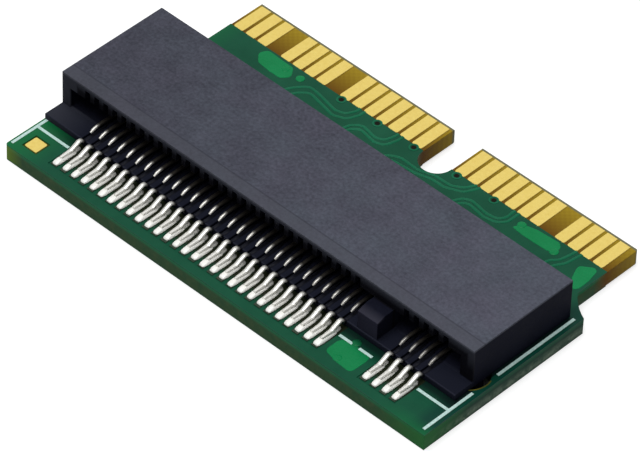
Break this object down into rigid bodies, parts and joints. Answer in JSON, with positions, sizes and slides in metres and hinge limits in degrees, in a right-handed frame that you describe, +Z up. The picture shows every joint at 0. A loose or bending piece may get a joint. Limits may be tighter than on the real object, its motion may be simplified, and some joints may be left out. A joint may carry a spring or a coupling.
{
  "type": "drive adapter card",
  "caption": "Small green circuit board with a low edge socket for a solid-state drive card along one side and a notched gold card edge along the other.",
  "frame": {"origin": "centre of the board's outline at the level of its underside", "axes": "+X along the socket, +Y from the socket's mouth towards the card edge, +Z up from the board's underside to the socket"},
  "size_m": [0.0222, 0.0132, 0.0026],
  "materials": {
    "laminate": "bare glass-epoxy laminate",
    "solder_mask": "semi-gloss green solder mask",
    "gold_plate": "gold plate on copper foil",
    "white_ink": "printed white ink",
    "black_moulding": "black glass-filled moulding, fine mottle",
    "tinned_contact": "matte tin over copper alloy"
  },
  "bodies": {
    "root": {"circuit_board": "laminate", "solder_mask_top": "solder_mask", "solder_mask_underside": "solder_mask", "edge_fingers_top_wide": "gold_plate", "edge_fingers_top_narrow": "gold_plate", "edge_fingers_underside_wide": "gold_plate", "edge_fingers_underside_narrow": "gold_plate", "corner_fiducial": "gold_plate", "silkscreen_lines": "white_ink", "socket_housing": "black_moulding", "lower_contacts_long_row": "tinned_contact", "lower_contacts_short_row": "tinned_contact", "upper_contacts_long_row": "tinned_contact", "upper_contacts_short_row": "tinned_contact", "front_lands_long_row": "gold_plate", "front_lands_short_row": "gold_plate", "rear_lands_long_row": "gold_plate", "rear_lands_short_row": "gold_plate", "hold_down_left": "tinned_contact", "hold_down_right": "tinned_contact", "hold_down_land_left": "gold_plate", "hold_down_land_right": "gold_plate"}
  },
  "joints": []
}
